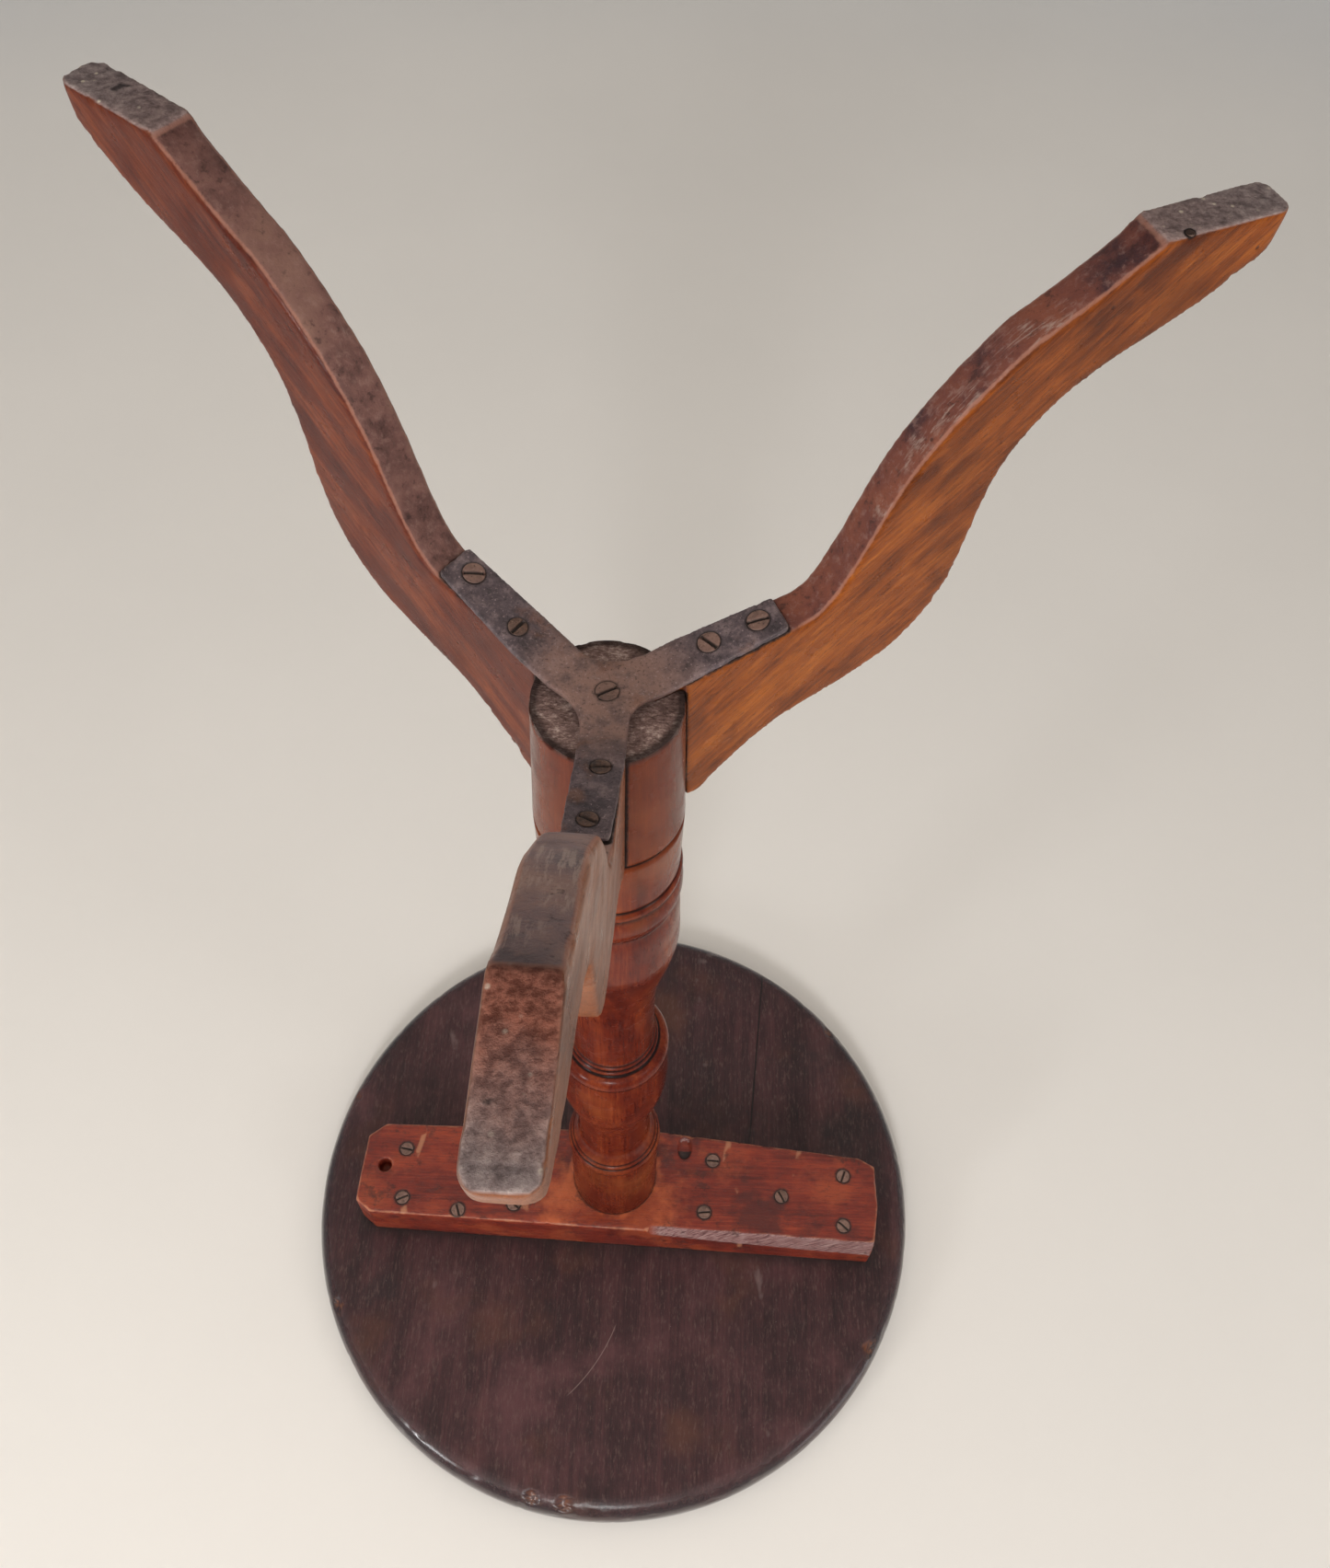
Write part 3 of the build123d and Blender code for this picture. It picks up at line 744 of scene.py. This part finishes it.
def make_column(material):
    profile = column_profile()
    piece = lathe("column_turned", profile, segments=168)
    co, normal = points_of(piece.data), normals_of(piece.data)
    height = co[:, 2]
    above_foot = height - column_low.z
    end = smoothstep(-0.5, -0.9, normal[:, 2]) * smoothstep(2 * MM, 0.6 * MM, above_foot)
    pits = smoothstep(0.0, 0.6, noise_at(co, 300, 3, 4))
    round_off = smoothstep(1.6 * MM, 0, above_foot) * (0.5 + 0.5 * noise_at(co, 120, 8))
    uneven = 0.05 + 0.05 * noise_at(co, 40, 4, 2)
    push(piece, (uneven + end * pits * 0.6 + (1 - end) * round_off * 0.9) * MM)
    relief = profile_relief(profile, height)
    edge = smoothstep(0.25, 0.70, relief / MM)
    hollow = smoothstep(0.06, 0.26, -relief / MM)
    share = above_foot / (column_high.z - column_low.z)
    foot = smoothstep(0.20, 0.14, share)
    paint(piece, "grain", np.c_[height, co[:, 0], co[:, 1]])
    paint(piece, "edge", edge * (1 - end))
    paint(piece, "hollow", hollow * (1 - end))
    paint(piece, "amber", foot * (0.6 + 0.4 * noise_at(co, 18, 6)))
    # darker towards the upper end, over the collar
    paint(piece, "darkening", smoothstep(0.86, 0.97, share))
    paint(piece, "end", end)
    # painted shade round the rim of the foot end
    foot_radius = profile[foot_rings + 1][0]
    ring = smoothstep(0.84, 0.93, np.hypot(co[:, 0], co[:, 1]) / foot_radius)
    paint(piece, "end_rim_shade", ring * smoothstep(2 * MM, 0.5 * MM, above_foot) * 0.8)
    # painted shade where the column meets the legs, the plate and the bearer
    legs = nearness(co, [f"leg_{side}" for side in sides], 2.2 * MM)
    paint(piece, "dirt_and_shade", np.maximum(legs, nearness(co, ("spider_plate", "bearer"), 1.5 * MM)))
    finish_piece(piece, material, ["column"])


def profile_relief(profile, height):
    """How far the profile stands out at each height from its average over a few millimetres."""
    step, reach = 0.1 * MM, 30
    r, z = np.array(profile[1:-1]).T
    keep = z > z[0] + step
    heights = np.arange(z[keep][0], z[-1], step)
    radius = np.interp(heights, z[keep], r[keep])
    window = np.hanning(2 * reach + 1)
    padded = np.pad(radius, reach, mode="edge")
    average = np.convolve(padded, window / window.sum(), "valid")
    return np.interp(height, heights, radius - average)


def top_profile():
    """Outline of the round top, read off the CAD node from a point inside its edge."""
    tree = search_tree("table_top")
    radius, middle = top_high.x, (top_low.z + top_high.z) / 2
    turn = math.radians(100)
    out = Vector((math.cos(turn), math.sin(turn), 0))
    start = out * (radius - 16 * MM) + Vector((0, 0, middle))
    edge = []
    for angle in np.linspace(-88, 88, 75):
        a = math.radians(angle)
        hit = tree.ray_cast(start, out * math.cos(a) + Vector((0, 0, math.sin(a))))[0]
        edge.append((math.hypot(hit.x, hit.y), hit.z))
    inner = edge[0][0]
    steps = np.r_[np.linspace(0.02, 0.9, 14), np.linspace(0.92, 0.995, 8)]
    under = [(inner * k, top_low.z) for k in steps]
    upper = [(edge[-1][0] * k, top_high.z) for k in steps[::-1]]
    return [(0, top_low.z)] + under + edge + upper + [(0, top_high.z)]


def make_top(material):
    piece = lathe("table_top_board", top_profile(), segments=640)
    mesh = piece.data
    co, normal = points_of(mesh), normals_of(mesh)
    radius = top_high.x
    axis_distance = np.hypot(co[:, 0], co[:, 1])
    rim = smoothstep(radius - 12 * MM, radius - 4 * MM, axis_distance)
    # chips knocked out of the lower rim: angle round the rim, radius and depth in millimetres
    chips = [(-78, 5.0, 1.8), (-84, 5.5, 1.6), (-25, 4.5, 1.5)]
    chips += [(-151, 5.0, 1.6), (18, 4.0, 1.2), (140, 5.0, 1.5)]
    depth = 0.06 + 0.06 * noise_at(co, 18, 2, 2)
    bare = np.zeros(len(co))
    for i, (angle, size, deep) in enumerate(chips):
        a = math.radians(angle)
        reach = radius - 6.0 * MM
        centre = (reach * math.cos(a), reach * math.sin(a), top_low.z + 2.0 * MM)
        hole = dent(co, centre, size * MM, 10 + i)
        depth += hole * deep
        bare = np.maximum(bare, hole)
    depth += rim * smoothstep(0.3, 0.7, noise_at(co, 70, 12)) * 0.35
    push(piece, depth * MM)
    paint(piece, "grain", np.c_[co[:, 1], co[:, 0], co[:, 2]])
    paint(piece, "edge", convex_edges(mesh, 4) * rim)
    paint(piece, "bare", bare * smoothstep(-0.3, 0.3, noise_at(co, 500, 4)))
    # painted shade on the under side within a few millimetres of the bearer
    paint(piece, "dirt_and_shade", nearness(co, ("bearer",), 7 * MM) * (normal[:, 2] < 0))
    # the rim mask carries the varnish coat and a painted shade on the side of the rim
    side = smoothstep(radius - 9 * MM, radius - 1 * MM, axis_distance)
    paint(piece, "rim", side * (0.7 + 0.5 * noise_at(co, 25, 14)))
    paint(piece, "polish", np.maximum(rim, smoothstep(0.2, 0.6, normal[:, 2])))
    finish_piece(piece, material, ["table_top"])


def make_bearer(material):
    piece = dense_copy("bearer", "bearer_board", voxel=1.05 * MM)
    mesh = piece.data
    co, normal = points_of(mesh), normals_of(mesh)
    edge = convex_edges(mesh)
    wear = 0.5 + 0.5 * noise_at(co, 50, 21)
    chips = smoothstep(0.4, 0.65, noise_at(co, 140, 22))
    uneven = 0.08 + 0.08 * noise_at(co, 22, 23, 2)
    push(piece, (edge * (0.3 * wear + 0.8 * chips) + uneven) * MM)
    face = smoothstep(-0.6, -0.95, normal[:, 2])
    radius = np.hypot(co[:, 0], co[:, 1])
    collar = smoothstep(38 * MM, 28 * MM, radius) * (0.7 + 0.6 * noise_at(co, 90, 25))
    rubbed = 0.55 * smoothstep(100 * MM, 30 * MM, radius) + 0.5 * noise_at(co, 30, 24)
    tilt = -normal[:, 2]
    near_side = (normal[:, 1] < -0.4) * smoothstep(-22 * MM, -32 * MM, co[:, 0])
    planed = near_side * smoothstep(0.06, 0.11, tilt) * smoothstep(0.85, 0.75, tilt)
    # dirt round the screws; painted shade where the bearer meets the column and the top, and in the
    # recessed pocket and holes
    screws = [n for n in nodes if n.startswith("bearer_screw")]
    ring = nearness(co, screws, 3.2 * MM)
    joint = nearness(co, ("column", "table_top"), 1.5 * MM)
    deep = smoothstep(0.3 * MM, 1.2 * MM, co[:, 2] - bearer_low.z)
    holes = deep * (1 - smoothstep(0.25, 0.45, outer_side(co)))
    paint(piece, "grain", co + 1.7)
    paint(piece, "edge", edge)
    paint(piece, "worn", np.maximum(collar, rubbed) * face)
    paint(piece, "planed", planed)
    paint(piece, "dirt_and_shade", np.maximum(np.maximum(ring, 0.8 * joint), holes))
    finish_piece(piece, material, ["bearer"])


def outer_side(co):
    """1 on the bearer's outer sides, 0 well inside its outline."""
    middle = (bearer_low + bearer_high) / 2
    half = (bearer_high - bearer_low) / 2
    x = np.abs(co[:, 0] - middle.x) / half.x
    y = np.abs(co[:, 1] - middle.y) / half.y
    return smoothstep(0.64, 0.70, np.maximum(x, y))


def make_plate(material):
    piece = dense_copy("spider_plate", "spider_plate_iron", voxel=0.6 * MM, passes=4)
    mesh = piece.data
    co = points_of(mesh)
    edge = convex_edges(mesh)
    pits = smoothstep(0.1, 0.7, noise_at(co, 260, 31, 4))
    push(piece, (0.25 * pits + edge * 0.25 + 0.08 * noise_at(co, 60, 32)) * MM)
    screws = [n for n in nodes if n.startswith("plate_screw")]
    paint(piece, "edge", edge)
    # painted shade where the plate meets the wood and round the screw heads
    wood = nearness(co, ["column"] + [f"leg_{side}" for side in sides], 1.3 * MM)
    paint(piece, "dirt_and_shade", np.maximum(wood, nearness(co, screws, 0.9 * MM)))
    paint(piece, "hub", smoothstep(40 * MM, 12 * MM, np.hypot(co[:, 0], co[:, 1])))
    finish_piece(piece, material, ["spider_plate"])


def screw_axes(node):
    """Middle of the head's face, direction to the point, and direction of the slot."""
    co = points_of(nodes[node].data)
    middle = co.mean(0)
    _, _, rows = np.linalg.svd(co - middle, full_matrices=False)
    axis = rows[0]
    t = (co - middle) @ axis
    spread = np.linalg.norm(co - middle - np.outer(t, axis), axis=1)
    if spread[t > t.max() - 1 * MM].max() > spread[t < t.min() + 1 * MM].max():
        axis, t = -axis, -t
    rim = co[t < t.min() + 0.6 * MM]
    centre = (rim.min(0) + rim.max(0)) / 2
    centre = centre - axis * ((centre - middle) @ axis - t.min())
    depth = (co - centre) @ axis
    slot_floor = co[(depth > 1.0 * MM) & (depth < 1.2 * MM)]
    _, _, rows = np.linalg.svd(slot_floor - slot_floor.mean(0), full_matrices=False)
    return centre, axis, rows[0]


def screw_profile(length, head, shank):
    """Outline of a screw from the middle of its domed head to its point."""
    rim, neck, point = 0.4 * MM, 2.7 * MM, 5 * MM
    profile = [(0, 0)]
    profile += [(head * k, -0.12 * MM * (1 - k**2)) for k in np.linspace(0.08, 0.97, 16)]
    profile += [(head, 0.15 * MM), (head, rim), (shank, neck)]
    profile += [(shank, z) for z in np.arange(neck + 1 * MM, length - point, 0.25 * MM)]
    profile += [(shank * (1 - k), length - point * (1 - k)) for k in np.linspace(0.1, 0.92, 14)]
    return profile + [(0, length)]


def cut_thread(co, start):
    """Cut a thread into the points of a screw that lie further from its head than start."""
    pitch, share = 1.5 * MM, 0.28
    turn = np.arctan2(co[:, 1], co[:, 0]) / (2 * math.pi)
    wave = 0.5 + 0.5 * np.cos(2 * math.pi * (co[:, 2] / pitch - turn))
    threaded = smoothstep(start, start + 2 * MM, co[:, 2])
    co[:, :2] *= (1 - share * threaded * wave)[:, None]


def make_screw(node, material):
    """Old countersunk screw: slotted, slightly domed head, thread cut as a helix."""
    centre, axis, slot = screw_axes(node)
    co = points_of(nodes[node].data)
    depth = (co - centre) @ axis
    across = np.linalg.norm(co - centre - np.outer(depth, axis), axis=1)
    length, head = depth.max(), across.max() - 0.05 * MM
    piece = lathe(f"{node}_iron", screw_profile(length, head, 2.1 * MM), segments=48)
    mesh = piece.data
    co = points_of(mesh)
    slotted = smoothstep(0.75 * MM, 0.50 * MM, np.abs(co[:, 1])) * (co[:, 2] < 0.1 * MM)
    co[:, 2] += slotted * 1.05 * MM
    cut_thread(co, length * 0.35)
    seed = len(node) + co.sum() * 100
    face = (slotted < 0.5) * (co[:, 2] < 0.3 * MM)
    co[:, 2] += face * 0.07 * MM * noise_at(co, 700, seed)
    co[:, 1:] *= -1
    move_points(mesh, co)
    x, z = Vector(slot), -Vector(axis)
    y = z.cross(x).normalized()
    turned = Matrix((y.cross(z), y, z)).transposed().to_4x4()
    mesh.transform(Matrix.Translation(Vector(centre)) @ turned)
    mesh.update()
    paint(piece, "edge", convex_edges(mesh, 3))
    # painted shade in the slot
    paint(piece, "dirt_and_shade", slotted)
    paint(piece, "hub", np.full(len(slotted), 0.35 + 0.35 * math.sin(seed)))
    finish_piece(piece, material, [node])


def paint_kept_nodes(iron, wood):
    """The brad and the hidden wedge keep their CAD meshes."""
    for name, material in (("sole_brad", iron), ("tenon_wedge", wood)):
        nodes[name].data.materials.clear()
        nodes[name].data.materials.append(material)


# --- Stage ------------------------------------------------------------------------------
def make_floor(name, z, hole, reach, material):
    """Flat ring about the axis, left out of the shadows and of the exported model."""
    segments = 96
    verts, faces = [], []
    for radius in (hole, reach):
        for i in range(segments):
            a = 2 * math.pi * i / segments
            verts.append((radius * math.cos(a), radius * math.sin(a), z))
    for i in range(segments):
        k = (i + 1) % segments
        faces.append((i, segments + i, segments + k, k))
    mesh = bpy.data.meshes.new(name)
    mesh.from_pydata(verts, [], faces)
    mesh.materials.append(material)
    floor = link(name, mesh)
    floor.visible_shadow = False


def make_light(name, place, target, size, watts):
    data = bpy.data.lights.new(name, "AREA")
    data.shape = "DISK"
    data.size = size
    data.energy = watts
    light = bpy.data.objects.new(name, data)
    light.location = place
    light.rotation_mode = "QUATERNION"
    light.rotation_quaternion = (Vector(target) - Vector(place)).to_track_quat("-Z", "Y")
    light.visible_camera = False
    bpy.context.scene.collection.objects.link(light)


def make_stage():
    floor_colour = (0.89, 0.86, 0.82)
    reach = 3.0
    under = floor_material("floor_under_top", "under", floor_colour, reach)
    above = floor_material("floor_under_feet", "above", floor_colour, reach)
    make_floor("floor_under_top", top_high.z + 0.5 * MM, 0.85 * top_high.x, reach, under)
    make_floor("floor_under_feet", -0.2 * MM, 1 * MM, reach, above)
    middle = (0, 0, 0.4)
    make_light("front_below", (0.1, -1.9, -0.7), middle, 0.5, 18)
    make_light("rim_side", (1.4, -1.5, 0.1), middle, 0.35, 8)
    make_light("side_below", (-1.5, -1.0, -0.4), middle, 0.6, 3)
    make_light("key_above", (1.3, -1.3, 1.9), middle, 0.8, 8)
    make_light("fill_above", (-1.6, -0.9, 1.2), middle, 1.0, 3)
    make_light("back_above", (0.3, 1.7, 1.5), middle, 1.0, 5)
    world = bpy.data.worlds.new("pale")
    world.use_nodes = True
    background = world.node_tree.nodes["Background"]
    background.inputs["Color"].default_value = (0.70, 0.70, 0.70, 1)
    background.inputs["Strength"].default_value = 0.54
    bpy.context.scene.world = world
    bpy.context.scene.view_settings.view_transform = "Standard"


def make_camera():
    """Looks up from under the feet, so that the picture shows the feet above and the top below."""
    x, y, out_from_top = -0.0217, -0.2998, 0.9716
    pitch, roll = math.radians(56.22), math.radians(2.52)
    forward = Vector((0, math.cos(pitch), math.sin(pitch)))
    level = Vector((-1, 0, 0))
    steep = Vector((0, math.sin(pitch), -math.cos(pitch)))
    right = level * math.cos(roll) + steep * math.sin(roll)
    up = steep * math.cos(roll) - level * math.sin(roll)
    data = bpy.data.cameras.new("camera")
    data.sensor_fit = "AUTO"
    data.sensor_width = 36
    data.lens = 32.15
    camera = bpy.data.objects.new("camera", data)
    turned = Matrix((right, up, -forward)).transposed().to_4x4()
    place = Vector((x, y, top_high.z - out_from_top))
    camera.matrix_world = Matrix.Translation(place) @ turned
    bpy.context.scene.collection.objects.link(camera)
    bpy.context.scene.camera = camera


# --- Everything together ----------------------------------------------------------------
red_under = ((0.055, 0.026, 0.030), (0.170, 0.055, 0.040), (0.25, 0.080, 0.046))
brown_under = ((0.090, 0.042, 0.036), (0.200, 0.095, 0.078), (0.27, 0.145, 0.108))
grey_under = ((0.100, 0.064, 0.068), (0.215, 0.135, 0.130), (0.36, 0.230, 0.190))
leg_looks = {
    "left": ((0.10, 0.019, 0.002), (0.26, 0.058, 0.004), (0.42, 0.112, 0.010), red_under, 0.15),
    "right": ((0.060, 0.008, 0.005), (0.130, 0.022, 0.008), (0.23, 0.050, 0.014), brown_under, 0.15),
    "front": ((0.15, 0.040, 0.012), (0.25, 0.073, 0.022), (0.35, 0.115, 0.040), grey_under, 1.3),
}
make_camera()
make_stage()
for side in sides:
    make_leg(side, leg_material(side, *leg_looks[side]))
make_column(column_material())
make_top(top_material())
make_bearer(bearer_material())
plate_rust = (0.040, 0.029, 0.034), (0.115, 0.083, 0.090), (0.26, 0.19, 0.19)
make_plate(iron_material("plate_rusty_iron", *plate_rust))
screw_rust = (0.030, 0.020, 0.017), (0.12, 0.065, 0.045), (0.22, 0.15, 0.12)
screw_iron = iron_material("screw_rusty_iron", *screw_rust)
for node in sorted(nodes):
    if "screw" in node:
        make_screw(node, screw_iron)
paint_kept_nodes(screw_iron, bare_wood_material())
